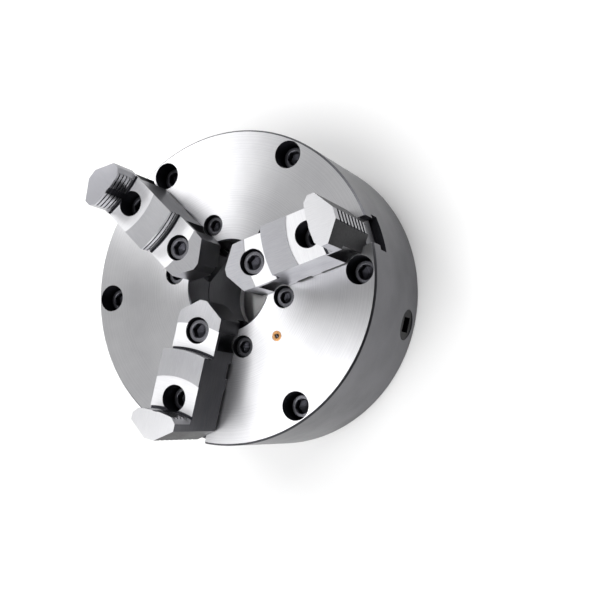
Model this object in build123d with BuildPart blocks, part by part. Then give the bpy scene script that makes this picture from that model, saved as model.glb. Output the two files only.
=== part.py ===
"""Three-jaw self-centring scroll chuck, 250 mm, with reversible hard jaws.

Frame: millimetres, +Z up along the spindle axis, out of the jaw face.
Origin: centre of the flat back face. +X points along the first jaw.
"""

from build123d import *
import os
from math import cos, pi, radians, sin, tan

# --- body -----------------------------------------------------------------
BODY_D = 250.0
BODY_R = BODY_D / 2
BODY_H = 94.0
BAR_R = 35.5
BORE_R = 36.0
BORE_STEP_Z = 64.0
BORE_CHAMFER = 1.0
OVERCUT = 1.0
FRONT_CHAMFER = 1.5
REAR_CHAMFER = 1.0
REGISTER_R = 105.0
REGISTER_DEPTH = 5.0
POCKET_R = 98.0
POCKET_TOP = 74.2
HUB_R = 57.94
COVER_TOP = 12.0

# --- jaw slots ------------------------------------------------------------
JAW_COUNT = 3
JAW_STEP = 360 / JAW_COUNT
NECK_HALF = 11.0
NECK_DEPTH = 14.5
WING_HALF = 14.5
WING_DEPTH = 26.0
SLOT_RUN = 100.0
SLOT_MID = 78.0
GUIDE_CLEARANCE = 0.08

# --- fasteners and their holes --------------------------------------------
MOUNT_PCD_R = 112.0
MOUNT_START = -14.0
MOUNT_COUNT = 6
MOUNT_HOLE_R = 6.75
MOUNT_CBORE_R = 11.0
MOUNT_CBORE_DEPTH = 42.0
HUB_SCREW_R = 51.0
HUB_SCREW_START = 30.0
HUB_SCREW_COUNT = 6
HUB_HOLE_R = 5.3
HUB_CBORE_R = 8.7
HUB_CBORE_DEPTH = 13.5
M12 = {"shank": 5.9, "head_r": 9.0, "head_h": 12.0, "hex_r": 5.77, "hex_depth": 6.0}
M10 = {"shank": 4.9, "head_r": 8.0, "head_h": 10.0, "hex_r": 4.62, "hex_depth": 5.0}
THREAD_GAP = 0.1
SCREW_FOOT_GAP = 0.5
HEAD_CHAMFER = 1.0
TIP_CHAMFER = 0.8
MOUNT_SCREW_LENGTH = 70.0

# --- scroll plate ---------------------------------------------------------
SCROLL_BORE_R = 58.0
SCROLL_R = 97.0
SCROLL_HUB_R = 74.0
SCROLL_BOTTOM = COVER_TOP + 0.1
THREAD_ROOT = BODY_H - WING_DEPTH
THREAD_TOP = 74.0
THREAD_PITCH = 10.0
THREAD_THICKNESS = 4.2
THREAD_START_R = 60.4
THREAD_TURNS = 3.4
ARCS_PER_TURN = 12

# --- bevel gearing between the pinions and the scroll plate ---------------
PINION_START = -30.0
PINION_Z = 19.0
PINION_HEAD_R = 12.45
PINION_BORE_R = 12.5
PINION_BORE_LEAD = 4.0
CRADLE_GAP = 0.6
PINION_HEAD_IN = 99.0
PINION_HEAD_OUT = 124.3
PINION_NECK_R = 7.0
KEY_SOCKET = 12.0
KEY_SOCKET_DEPTH = 18.0
GROOVE_POS = 112.0
GROOVE_HALF = 3.2
GROOVE_DEPTH = 2.5
PIN_R = 2.9
PIN_TIP_GAP = 0.3
PINION_TEETH = 8
CROWN_TEETH = 78
GEAR_OUT = 96.0
GEAR_IN = 80.0
PITCH_R = GEAR_OUT * PINION_TEETH / CROWN_TEETH
FLANK_ANGLE = 25.0
HALF_TOOTH = 1.65
PINION_ADDENDUM = 1.3
PINION_DEDENDUM = 1.9
CROWN_ADDENDUM = 1.2
CROWN_DEDENDUM = 1.8
CROWN_EMBED = 0.4
BASE_SPREAD = 0.030
TIP_TAPER = 0.076

# --- jaws -----------------------------------------------------------------
MASTER_IN = 25.0
MASTER_OUT = 119.5
MASTER_TOP = BODY_H + 0.5
WING_TOP = BODY_H - NECK_DEPTH - 0.1
WING_BOTTOM = THREAD_TOP + 0.25
TOOTH_TIP = THREAD_ROOT + 0.3
TOOTH_THICKNESS = 3.6
TOOTH_CURVE_R = 78.0
TOOTH_COUNT = 7
TOOTH_LEAD_TURNS = 1.5
JAW_HALF = 19.0
NOSE_TIP = 16.0
NOSE_TIP_HALF = 2.9
NOSE_SHOULDER = 27.0
NOSE_SHOULDER_HALF = 18.7
NOSE_SIDE = 33.0
JAW_SIDE_END = 112.5
JAW_END = 122.8
JAW_END_HALF = 4.3
STEP_A = BODY_H + 29.0
STEP_B = BODY_H + 40.0
TOWER_TOP = BODY_H + 60.0
RELIEF = 0.6
LAND_A_END = 34.8
LAND_A_CURVE = 90.0
LAND_B_END = 76.0
LAND_B_CURVE = 55.0
GRIP_B = 55.5
GRIP_TOWER = 101.8
GRIP_CURVE = 90.0
UNDERCUT_WIDTH = 2.2
UNDERCUT_DEPTH = 1.2
GRIP_GROOVE_WIDTH = 1.4
GRIP_GROOVE_DEPTH = 0.8
GRIP_ROW_START = 0.75
GRIP_ROW_SPARE = 0.6
TOWER_CORNER = 3.5
END_ROWS = 8
END_ROW_START = 8.0
END_ROW_PITCH = 6.2
END_ROW_HEIGHT = 2.6
BLANK_LIFT = 1.0
BASE_RELIEF_FROM = 80.0
BASE_RELIEF = 1.8
BASE_RELIEF_INSET = 1.0
JAW_SCREW_POS = (39.2, 92.0)
JAW_CBORE_R = 10.2
JAW_HOLE_R = 6.6
JAW_SEAT = BODY_H + 14.0
JAW_SCREW_LENGTH = 30.0
KEY_HEIGHT = 3.0
LONG_KEY_HALF = 4.0
CROSS_KEY_HALF = 6.0
KEY_CENTRE = sum(JAW_SCREW_POS) / 2
LONG_KEY_RUN = 30.0
KEY_GAP = 0.3
NOTCH_GAP = 0.6
NOTCH_ROOF = 4.0

# --- ball oiler -----------------------------------------------------------
OILER_R = 60.5
OILER_ANGLE = -60.0
OILER_BODY_R = 4.0
OILER_LENGTH = 9.0
OILER_LIP_R = 1.7
OILER_CAVITY_R = 2.3
BALL_R = 2.0
SPRING_WIRE_R = 0.25
SPRING_R = 1.5
SPRING_TURNS = 5
OIL_WAY_R = 1.5
OILER_PRESS = 0.02
OILER_PROUD = 0.1
OILER_FLOOR = 1.0
OILER_INLET_R = 1.0
BALL_SEAT_Z = 1.15

DOWEL_R = 3.0
DOWEL_LENGTH = 12.0
DOWEL_START = 0.0

os.makedirs("parts", exist_ok=True)


def save(solid, name):
    """Label one piece and write it as its own STEP file."""
    solid.label = name
    export_step(solid, f"parts/{name}.step")


def at_angle(radius, angle):
    """A point on the plan at a radius and an angle in degrees."""
    return (radius * cos(radians(angle)), radius * sin(radians(angle)))


def radial_plane(radius, height, angle=0.0):
    """A plane facing outwards at a radius, with its own x axis level."""
    x, y = at_angle(radius, angle)
    outward = (cos(radians(angle)), sin(radians(angle)), 0)
    level = (-sin(radians(angle)), cos(radians(angle)), 0)
    return Plane(origin=(x, y, height), x_dir=level, z_dir=outward)


# --- body -----------------------------------------------------------------
with BuildPart() as body:
    with BuildSketch(Plane.XZ):
        with BuildLine():
            Polyline(
                (BAR_R, COVER_TOP),
                (HUB_R, COVER_TOP),
                (HUB_R, POCKET_TOP),
                (POCKET_R, POCKET_TOP),
                (POCKET_R, REGISTER_DEPTH),
                (REGISTER_R, REGISTER_DEPTH),
                (REGISTER_R, 0),
                (BODY_R - REAR_CHAMFER, 0),
                (BODY_R, REAR_CHAMFER),
                (BODY_R, BODY_H - FRONT_CHAMFER),
                (BODY_R - FRONT_CHAMFER, BODY_H),
                (BORE_R + BORE_CHAMFER, BODY_H),
                (BORE_R, BODY_H - BORE_CHAMFER),
                (BORE_R, BORE_STEP_Z),
                (BAR_R, BORE_STEP_Z),
                close=True,
            )
        make_face()
    revolve(axis=Axis.Z)

    # T-slots for the master jaws, open to the bore and to the rim
    with BuildSketch(Plane.XY.offset(BODY_H)):
        with PolarLocations(SLOT_MID, JAW_COUNT):
            Rectangle(SLOT_RUN, 2 * NECK_HALF)
    extrude(amount=-WING_DEPTH, mode=Mode.SUBTRACT)
    with BuildSketch(Plane.XY.offset(BODY_H - WING_DEPTH)):
        with PolarLocations(SLOT_MID, JAW_COUNT):
            Rectangle(SLOT_RUN, 2 * WING_HALF)
    extrude(amount=WING_DEPTH - NECK_DEPTH, mode=Mode.SUBTRACT)

    # through holes for the mounting screws and the hub screws
    with Locations((0, 0, BODY_H)):
        with PolarLocations(MOUNT_PCD_R, MOUNT_COUNT, start_angle=MOUNT_START):
            CounterBoreHole(MOUNT_HOLE_R, MOUNT_CBORE_R, MOUNT_CBORE_DEPTH)
        with PolarLocations(HUB_SCREW_R, HUB_SCREW_COUNT, start_angle=HUB_SCREW_START):
            CounterBoreHole(HUB_HOLE_R, HUB_CBORE_R, HUB_CBORE_DEPTH)
        with Locations(at_angle(OILER_R, OILER_ANGLE)):
            CounterBoreHole(OIL_WAY_R, OILER_BODY_R, OILER_LENGTH)

    # pinion bores from the rim, and the holes of their retaining pins
    for index in range(JAW_COUNT):
        angle = PINION_START + index * JAW_STEP
        with BuildSketch(radial_plane(POCKET_R - PINION_BORE_LEAD, PINION_Z, angle)):
            Circle(PINION_BORE_R)
        extrude(amount=BODY_R - POCKET_R + PINION_BORE_LEAD + OVERCUT, mode=Mode.SUBTRACT)
        with BuildSketch(Plane.XY):
            with Locations(at_angle(GROOVE_POS, angle)):
                Circle(PIN_R + THREAD_GAP)
        extrude(amount=PINION_Z, mode=Mode.SUBTRACT)

    # dowel holes in the foot of the hub
    with BuildSketch(Plane.XY.offset(COVER_TOP)):
        with PolarLocations(HUB_SCREW_R, 2, start_angle=DOWEL_START):
            Circle(DOWEL_R + THREAD_GAP)
    extrude(amount=DOWEL_LENGTH / 2, mode=Mode.SUBTRACT)
save(body.part, "body")


# --- rear cover -----------------------------------------------------------
CRADLE_R = PITCH_R + PINION_ADDENDUM + CRADLE_GAP
with BuildPart() as rear_cover:
    with BuildSketch(Plane.XY.offset(REGISTER_DEPTH)):
        Circle(POCKET_R - THREAD_GAP)
        Circle(BAR_R, mode=Mode.SUBTRACT)
    extrude(amount=COVER_TOP - REGISTER_DEPTH)
    with BuildSketch(Plane.XY.offset(REGISTER_DEPTH)):
        with PolarLocations(HUB_SCREW_R, HUB_SCREW_COUNT, start_angle=HUB_SCREW_START):
            Circle(M10["shank"] + THREAD_GAP)
        with PolarLocations(HUB_SCREW_R, 2, start_angle=DOWEL_START):
            Circle(DOWEL_R + THREAD_GAP)
    extrude(amount=COVER_TOP - REGISTER_DEPTH, mode=Mode.SUBTRACT)
    for index in range(JAW_COUNT):
        with BuildSketch(radial_plane(SCROLL_HUB_R + OVERCUT, PINION_Z, PINION_START + index * JAW_STEP)):
            Circle(CRADLE_R)
        extrude(amount=POCKET_R - SCROLL_HUB_R, mode=Mode.SUBTRACT)
save(rear_cover.part, "rear_cover")

with BuildPart() as cover_dowels:
    with BuildSketch(Plane.XY.offset(COVER_TOP - DOWEL_LENGTH / 2)):
        with PolarLocations(HUB_SCREW_R, 2, start_angle=DOWEL_START):
            Circle(DOWEL_R)
    extrude(amount=DOWEL_LENGTH - SCREW_FOOT_GAP)
save(cover_dowels.part, "cover_dowels")


# --- scroll plate ---------------------------------------------------------
def spiral_point(turn, offset):
    """A point of the scroll thread: its radius grows by one pitch a turn."""
    radius = THREAD_START_R + THREAD_PITCH * turn + offset
    return (radius * cos(2 * pi * turn), radius * sin(2 * pi * turn))


def spiral_edge(offset):
    """One flank of the scroll thread in plan, as a chain of short arcs."""
    step = 1 / ARCS_PER_TURN
    count = round(THREAD_TURNS * ARCS_PER_TURN)
    for k in range(count):
        ThreePointArc(
            spiral_point(k * step, offset),
            spiral_point((k + 0.5) * step, offset),
            spiral_point((k + 1) * step, offset),
        )
    return spiral_point(0, offset), spiral_point(count * step, offset)


def cone_height(radius, pitch_offset):
    """Height on a bevel cone whose apex is where the two gear axes meet."""
    return PINION_Z + (PITCH_R + pitch_offset) * radius / GEAR_OUT


def crown_tooth(radius):
    """Section of one crown tooth, scaled towards the apex of the gearing."""
    scale = radius / GEAR_OUT
    slope = tan(radians(FLANK_ANGLE))
    embed = CROWN_DEDENDUM + CROWN_EMBED
    tip = HALF_TOOTH - CROWN_ADDENDUM * slope
    root = HALF_TOOTH + embed * slope
    top = PITCH_R + embed
    bottom = PITCH_R - CROWN_ADDENDUM
    outline = [(-root, top), (-tip, bottom), (tip, bottom), (root, top)]
    with BuildSketch(radial_plane(radius, PINION_Z)) as section:
        with BuildLine():
            Polyline([(x * scale, y * scale) for x, y in outline], close=True)
        make_face()
    return section.sketch


crown_teeth_blank = loft([crown_tooth(GEAR_IN - CROWN_EMBED), crown_tooth(GEAR_OUT)], ruled=True)

with BuildPart() as scroll_plate:
    with BuildSketch(Plane.XZ):
        with BuildLine():
            Polyline(
                (SCROLL_BORE_R, SCROLL_BOTTOM),
                (SCROLL_HUB_R, SCROLL_BOTTOM),
                (SCROLL_HUB_R, cone_height(SCROLL_HUB_R, CROWN_DEDENDUM)),
                (SCROLL_R, cone_height(SCROLL_R, CROWN_DEDENDUM)),
                (SCROLL_R, THREAD_ROOT),
                (SCROLL_BORE_R, THREAD_ROOT),
                close=True,
            )
        make_face()
    revolve(axis=Axis.Z)
    with BuildSketch(Plane.XY.offset(THREAD_ROOT)):
        with BuildLine():
            inner_start, inner_end = spiral_edge(-THREAD_THICKNESS / 2)
            outer_start, outer_end = spiral_edge(THREAD_THICKNESS / 2)
            Line(inner_start, outer_start)
            Line(inner_end, outer_end)
        make_face()
    extrude(amount=THREAD_TOP - THREAD_ROOT)
    with PolarLocations(0, CROWN_TEETH, start_angle=PINION_START):
        add(crown_teeth_blank)
save(scroll_plate.part, "scroll_plate")


# --- pinions --------------------------------------------------------------
def pinion_section(radius):
    """Star-shaped section of the bevel pinion, scaled towards the apex."""
    scale = radius / GEAR_OUT
    base_r = PITCH_R * cos(radians(FLANK_ANGLE))
    root_r = PITCH_R - PINION_DEDENDUM
    tip_r = PITCH_R + PINION_ADDENDUM
    pitch_half = HALF_TOOTH / PITCH_R
    base_half = pitch_half + BASE_SPREAD
    tip_half = pitch_half - TIP_TAPER
    flank = [(root_r, base_half), (base_r, base_half), (PITCH_R, pitch_half), (tip_r, tip_half)]
    points = []
    for k in range(PINION_TEETH):
        middle = 2 * pi * (k + 0.5) / PINION_TEETH + pi / 2
        points += [(r * cos(middle - a), r * sin(middle - a)) for r, a in flank]
        points += [(r * cos(middle + a), r * sin(middle + a)) for r, a in reversed(flank)]
    with BuildSketch(radial_plane(radius, PINION_Z)) as section:
        with BuildLine():
            Polyline([(x * scale, y * scale) for x, y in points], close=True)
        make_face()
    return section.sketch


def make_pinion(number):
    """One key pinion: bearing head with a square socket, and bevel teeth."""
    gear = loft([pinion_section(GEAR_IN), pinion_section(GEAR_OUT)], ruled=True)
    with BuildPart() as pinion:
        add(gear)
        with BuildSketch(radial_plane(GEAR_OUT, PINION_Z)):
            Circle(PINION_NECK_R)
        extrude(amount=PINION_HEAD_IN - GEAR_OUT)
        with BuildSketch(radial_plane(PINION_HEAD_IN, PINION_Z)):
            Circle(PINION_HEAD_R)
        extrude(amount=PINION_HEAD_OUT - PINION_HEAD_IN)
        with BuildSketch(radial_plane(PINION_HEAD_OUT, PINION_Z)):
            Rectangle(KEY_SOCKET, KEY_SOCKET)
        extrude(amount=-KEY_SOCKET_DEPTH, mode=Mode.SUBTRACT)
        with BuildSketch(radial_plane(GROOVE_POS - GROOVE_HALF, PINION_Z)):
            Circle(PINION_HEAD_R + OVERCUT)
            Circle(PINION_HEAD_R - GROOVE_DEPTH, mode=Mode.SUBTRACT)
        extrude(amount=2 * GROOVE_HALF, mode=Mode.SUBTRACT)
    save(pinion.part.rotate(Axis.Z, PINION_START + (number - 1) * JAW_STEP), f"pinion_{number}")


for number in range(1, JAW_COUNT + 1):
    make_pinion(number)

with BuildPart() as pinion_pins:
    with BuildSketch(Plane.XY.offset(SCREW_FOOT_GAP)):
        with PolarLocations(GROOVE_POS, JAW_COUNT, start_angle=PINION_START):
            Circle(PIN_R)
    extrude(amount=PINION_Z - PINION_HEAD_R + GROOVE_DEPTH - PIN_TIP_GAP - SCREW_FOOT_GAP)
save(pinion_pins.part, "pinion_pins")


# --- jaws -----------------------------------------------------------------
def tooth_radii(number):
    """Radii of one master jaw's teeth, in the gaps of the scroll thread."""
    lead = THREAD_PITCH * (number - 1) / JAW_COUNT
    first = THREAD_START_R - THREAD_PITCH * TOOTH_LEAD_TURNS + lead
    return [first + THREAD_PITCH * k for k in range(TOOTH_COUNT)]


def make_master_jaw(number):
    """One master jaw: T-section slide, scroll teeth below, keys on top."""
    run = MASTER_OUT - MASTER_IN
    middle = (MASTER_OUT + MASTER_IN) / 2
    neck_half = NECK_HALF - GUIDE_CLEARANCE
    wing_half = WING_HALF - GUIDE_CLEARANCE
    with BuildPart() as jaw:
        with BuildSketch(Plane.XY.offset(WING_BOTTOM)):
            with Locations((middle, 0)):
                Rectangle(run, 2 * wing_half)
        extrude(amount=WING_TOP - WING_BOTTOM)
        with BuildSketch(Plane.XY.offset(WING_TOP)):
            with Locations((middle, 0)):
                Rectangle(run, 2 * neck_half)
        extrude(amount=MASTER_TOP - WING_TOP)
        with BuildSketch(Plane.XY.offset(MASTER_TOP)):
            with Locations((KEY_CENTRE, 0)):
                Rectangle(LONG_KEY_RUN, 2 * LONG_KEY_HALF)
                Rectangle(2 * CROSS_KEY_HALF, 2 * neck_half)
        extrude(amount=KEY_HEIGHT)
        with BuildSketch(Plane.XY.offset(TOOTH_TIP)):
            for radius in reversed(tooth_radii(number)):
                with Locations((radius - TOOTH_CURVE_R, 0)):
                    Circle(TOOTH_CURVE_R + TOOTH_THICKNESS / 2)
                    Circle(TOOTH_CURVE_R - TOOTH_THICKNESS / 2, mode=Mode.SUBTRACT)
            with Locations((middle, 0)):
                Rectangle(run, 2 * wing_half, mode=Mode.INTERSECT)
        extrude(amount=WING_BOTTOM - TOOTH_TIP)
        with Locations(*[(x, 0, MASTER_TOP) for x in JAW_SCREW_POS]):
            Hole(M12["shank"] + THREAD_GAP)
    save(jaw.part.rotate(Axis.Z, (number - 1) * JAW_STEP), f"master_jaw_{number}")


def cut_step(face, level):
    """Clear everything in front of a grip face, above a level."""
    with BuildSketch(Plane.XY.offset(level), mode=Mode.PRIVATE) as plan:
        Rectangle(2 * (face + JAW_HALF), 4 * JAW_HALF)
        with Locations((face + GRIP_CURVE, 0)):
            Circle(GRIP_CURVE, mode=Mode.SUBTRACT)
    extrude(plan.sketch, amount=TOWER_TOP - level + OVERCUT, mode=Mode.SUBTRACT)


def cut_ring(face, ahead, behind, bottom, height):
    """Cut a groove along a grip face, reaching ahead of it and behind it."""
    with BuildSketch(Plane.XY.offset(bottom), mode=Mode.PRIVATE) as plan:
        with Locations((face + GRIP_CURVE, 0)):
            Circle(GRIP_CURVE + ahead)
            Circle(GRIP_CURVE - behind, mode=Mode.SUBTRACT)
    extrude(plan.sketch, amount=height, mode=Mode.SUBTRACT)


def cut_relief(curve, land_end, level):
    """Lower the step by the relief, outside the ground land."""
    with BuildSketch(Plane.XY.offset(level - RELIEF), mode=Mode.PRIVATE) as plan:
        with Locations((land_end + curve, 0)):
            Circle(curve)
    extrude(plan.sketch, amount=RELIEF + OVERCUT, mode=Mode.SUBTRACT)


# plan of the whole top jaw: pointed nose, straight sides, tapered end
with BuildSketch() as jaw_plan:
    with BuildLine():
        Polyline(
            (NOSE_TIP, NOSE_TIP_HALF),
            (NOSE_SHOULDER, NOSE_SHOULDER_HALF),
            (NOSE_SIDE, JAW_HALF),
            (JAW_SIDE_END, JAW_HALF),
            (JAW_END, JAW_END_HALF),
            (JAW_END, 0),
            (NOSE_TIP, 0),
            close=True,
        )
    make_face()
    mirror(about=Plane.XZ)


def make_top_jaw(number):
    """One stepped hard jaw, keyed and screwed to its master jaw."""
    with BuildPart() as tread:
        # lower step with its relief, as a solid of its own
        with BuildSketch(Plane.XY.offset(MASTER_TOP)):
            add(jaw_plan.sketch)
        extrude(amount=STEP_A - MASTER_TOP)
        cut_relief(LAND_A_CURVE, LAND_A_END, STEP_A)
    with BuildPart() as middle:
        # blank of the second step, standing behind its grip face
        with BuildSketch(Plane.XY.offset(MASTER_TOP + BLANK_LIFT)):
            add(jaw_plan.sketch)
        extrude(amount=STEP_B - MASTER_TOP - BLANK_LIFT)
        cut_step(GRIP_B, MASTER_TOP)
        cut_relief(LAND_B_CURVE, LAND_B_END, STEP_B)
    with BuildPart() as tower:
        with BuildSketch(Plane.XY.offset(MASTER_TOP + BLANK_LIFT)):
            add(jaw_plan.sketch)
        extrude(amount=TOWER_TOP - MASTER_TOP - BLANK_LIFT)
        cut_step(GRIP_TOWER, MASTER_TOP)
        inner_corners = tower.edges().filter_by(Axis.Z).group_by(Axis.X)[0]
        chamfer(inner_corners, TOWER_CORNER)
    with BuildPart() as jaw:
        add(tread.part)
        add(middle.part)
        add(tower.part)
        for face, level, top, rows in ((GRIP_B, STEP_A, STEP_B, 2), (GRIP_TOWER, STEP_B, TOWER_TOP, 4)):
            cut_ring(face, UNDERCUT_WIDTH, 0, level - RELIEF - UNDERCUT_DEPTH, UNDERCUT_DEPTH + RELIEF)
            for k in range(rows):
                bottom = level + (top - level) * (k + GRIP_ROW_START) / (rows + GRIP_ROW_SPARE)
                cut_ring(face, OVERCUT, GRIP_GROOVE_DEPTH, bottom, GRIP_GROOVE_WIDTH)
        # fine grooves down the narrow outer end of the tower
        for k in range(END_ROWS):
            level = BODY_H + END_ROW_START + k * END_ROW_PITCH
            with Locations((JAW_END, 0, level)):
                Box(2 * GRIP_GROOVE_DEPTH, 4 * JAW_END_HALF, END_ROW_HEIGHT, mode=Mode.SUBTRACT)
        # the outer half of the underside stands clear of the chuck face
        with BuildSketch(Plane.XY.offset(MASTER_TOP)):
            for side in (1, -1):
                with Locations((BASE_RELIEF_FROM, side * (NECK_HALF + BASE_RELIEF_INSET))):
                    inward = Align.MIN if side > 0 else Align.MAX
                    Rectangle(JAW_END - BASE_RELIEF_FROM + OVERCUT, JAW_HALF, align=(Align.MIN, inward))
        extrude(amount=BASE_RELIEF, mode=Mode.SUBTRACT)
        # key grooves and screw holes
        with BuildSketch(Plane.XY.offset(MASTER_TOP)):
            with Locations((KEY_CENTRE, 0)):
                Rectangle(3 * LONG_KEY_RUN, 2 * (LONG_KEY_HALF + THREAD_GAP))
                Rectangle(2 * (CROSS_KEY_HALF + THREAD_GAP), 4 * JAW_HALF)
        extrude(amount=KEY_HEIGHT + KEY_GAP, mode=Mode.SUBTRACT)
        with BuildSketch(Plane.XY.offset(MASTER_TOP)):
            with Locations(*[(x, 0) for x in JAW_SCREW_POS]):
                Circle(JAW_HOLE_R)
        extrude(amount=TOWER_TOP, mode=Mode.SUBTRACT)
        with BuildSketch(Plane.XY.offset(JAW_SEAT)):
            with Locations(*[(x, 0) for x in JAW_SCREW_POS]):
                Circle(JAW_CBORE_R)
        extrude(amount=TOWER_TOP, mode=Mode.SUBTRACT)
        # side notches that leave a way to the face screws beside the jaw
        with BuildSketch(Plane.XY.offset(MASTER_TOP)):
            for side in (1, -1):
                with Locations(at_angle(HUB_SCREW_R, side * HUB_SCREW_START)):
                    Circle(HUB_CBORE_R + NOTCH_GAP)
        extrude(amount=STEP_A - MASTER_TOP - NOTCH_ROOF, mode=Mode.SUBTRACT)
        with BuildSketch(Plane.XY.offset(MASTER_TOP)):
            with Locations(at_angle(MOUNT_PCD_R, MOUNT_START)):
                Circle(MOUNT_CBORE_R + NOTCH_GAP)
        extrude(amount=STEP_B - MASTER_TOP - NOTCH_ROOF, mode=Mode.SUBTRACT)
    save(jaw.part.rotate(Axis.Z, (number - 1) * JAW_STEP), f"top_jaw_{number}")


# --- cap screws -----------------------------------------------------------
def cap_screw(size, seat, length):
    """A socket cap screw standing upright with its head on a seat."""
    with BuildPart() as screw:
        with BuildSketch(Plane.XY.offset(seat)):
            Circle(size["head_r"])
        extrude(amount=size["head_h"])
        chamfer(screw.faces().sort_by(Axis.Z)[-1].edges(), HEAD_CHAMFER)
        with BuildSketch(Plane.XY.offset(seat)):
            Circle(size["shank"])
        extrude(amount=-length)
        chamfer(screw.faces().sort_by(Axis.Z)[0].edges(), TIP_CHAMFER)
        with BuildSketch(Plane.XY.offset(seat + size["head_h"])):
            RegularPolygon(size["hex_r"], 6)
        extrude(amount=-size["hex_depth"], mode=Mode.SUBTRACT)
    return screw.part


def make_jaw_screws(number):
    """The two screws that hold one top jaw."""
    screw = cap_screw(M12, JAW_SEAT, JAW_SCREW_LENGTH)
    with BuildPart() as pair:
        with Locations(*[(x, 0) for x in JAW_SCREW_POS]):
            add(screw)
    save(pair.part.rotate(Axis.Z, (number - 1) * JAW_STEP), f"jaw_screws_{number}")


for number in range(1, JAW_COUNT + 1):
    make_master_jaw(number)
    make_top_jaw(number)
    make_jaw_screws(number)

mount_screw = cap_screw(M12, MOUNT_SCREW_LENGTH + SCREW_FOOT_GAP, MOUNT_SCREW_LENGTH)
with BuildPart() as mounting_screws:
    with PolarLocations(MOUNT_PCD_R, MOUNT_COUNT, start_angle=MOUNT_START):
        add(mount_screw)
save(mounting_screws.part, "mounting_screws")

HUB_SEAT = BODY_H - HUB_CBORE_DEPTH
hub_screw = cap_screw(M10, HUB_SEAT, HUB_SEAT - REGISTER_DEPTH - SCREW_FOOT_GAP)
with BuildPart() as hub_screws:
    with PolarLocations(HUB_SCREW_R, HUB_SCREW_COUNT, start_angle=HUB_SCREW_START):
        add(hub_screw)
save(hub_screws.part, "hub_screws")


# --- ball oiler -----------------------------------------------------------
oiler_x, oiler_y = at_angle(OILER_R, OILER_ANGLE)
oiler_foot = BODY_H - OILER_LENGTH
ball_z = BODY_H - BALL_R
with BuildPart() as oiler_body:
    with BuildSketch(Plane.XY.offset(oiler_foot)):
        with Locations((oiler_x, oiler_y)):
            Circle(OILER_BODY_R - OILER_PRESS)
            Circle(OILER_INLET_R, mode=Mode.SUBTRACT)
    extrude(amount=OILER_LENGTH + OILER_PROUD)
    with BuildSketch(Plane.XY.offset(oiler_foot + OILER_FLOOR)):
        with Locations((oiler_x, oiler_y)):
            Circle(OILER_CAVITY_R)
    extrude(amount=ball_z - oiler_foot - OILER_FLOOR + BALL_SEAT_Z, mode=Mode.SUBTRACT)
    with BuildSketch(Plane.XY.offset(oiler_foot + OILER_FLOOR)):
        with Locations((oiler_x, oiler_y)):
            Circle(OILER_LIP_R)
    extrude(amount=OILER_LENGTH, mode=Mode.SUBTRACT)
save(oiler_body.part, "oiler_body")

with BuildPart() as oiler_ball:
    with Locations((oiler_x, oiler_y, ball_z)):
        Sphere(BALL_R)
save(oiler_ball.part, "oiler_ball")

spring_foot = oiler_foot + OILER_FLOOR + SPRING_WIRE_R
spring_height = ball_z - BALL_R - spring_foot - SPRING_WIRE_R
with BuildPart() as oiler_spring:
    with BuildLine() as coil:
        Helix(spring_height / SPRING_TURNS, spring_height, SPRING_R, center=(oiler_x, oiler_y, spring_foot))
    with BuildSketch(Plane(coil.line @ 0, z_dir=coil.line % 0)):
        Circle(SPRING_WIRE_R)
    sweep(is_frenet=True)
save(oiler_spring.part, "oiler_spring")
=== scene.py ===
"""Studio scene of a three-jaw scroll chuck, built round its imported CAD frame.

Each sub-assembly is a class that models its pieces at their real size, dresses them in a
finish and hangs them on the CAD body that they move with. Sizes are in millimetres in the
classes and in metres in the scene. The spindle axis is Z and the back face lies on the floor.
"""

import logging
import math
from dataclasses import dataclass
from enum import Enum
from typing import Iterable, Sequence

import bpy
from mathutils import Matrix, Vector


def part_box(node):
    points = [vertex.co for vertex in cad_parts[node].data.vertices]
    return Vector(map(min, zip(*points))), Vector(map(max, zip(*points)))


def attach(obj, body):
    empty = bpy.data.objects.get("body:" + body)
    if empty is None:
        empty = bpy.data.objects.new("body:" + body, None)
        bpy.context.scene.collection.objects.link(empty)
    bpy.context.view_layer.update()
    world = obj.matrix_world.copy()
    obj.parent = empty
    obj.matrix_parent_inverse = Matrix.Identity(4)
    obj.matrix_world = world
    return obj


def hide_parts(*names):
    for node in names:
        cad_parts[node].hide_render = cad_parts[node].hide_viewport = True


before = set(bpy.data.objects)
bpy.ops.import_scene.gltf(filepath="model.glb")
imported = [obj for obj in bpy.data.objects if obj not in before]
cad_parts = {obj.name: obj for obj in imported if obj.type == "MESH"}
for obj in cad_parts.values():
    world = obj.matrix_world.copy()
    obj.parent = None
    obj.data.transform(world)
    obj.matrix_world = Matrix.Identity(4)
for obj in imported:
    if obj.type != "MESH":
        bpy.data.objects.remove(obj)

log = logging.getLogger("chuck")
MM = 0.001
JAW_COUNT = 3
JAW_STEP = 360.0 / JAW_COUNT
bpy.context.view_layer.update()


def cad_box_mm(node: str) -> tuple[Vector, Vector]:
    """Gives the lowest and the highest corner of a CAD node, in millimetres."""
    low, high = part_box(node)
    return low / MM, high / MM


BODY_LOW, BODY_HIGH = cad_box_mm("body")
FACE = BODY_HIGH.z
RIM = BODY_HIGH.x


def polar(radius: float, angle: float) -> tuple[float, float]:
    """Gives x and y of a point at a radius, and at degrees from the first jaw."""
    return radius * math.cos(math.radians(angle)), radius * math.sin(math.radians(angle))


def linear(hex_colour: str) -> tuple[float, float, float, float]:
    """Turns six sRGB hex digits into the linear colour that a shader takes."""
    values = [int(hex_colour[i : i + 2], 16) / 255 for i in (0, 2, 4)]
    red, green, blue = (v / 12.92 if v <= 0.04045 else ((v + 0.055) / 1.055) ** 2.4 for v in values)
    return red, green, blue, 1.0


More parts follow.
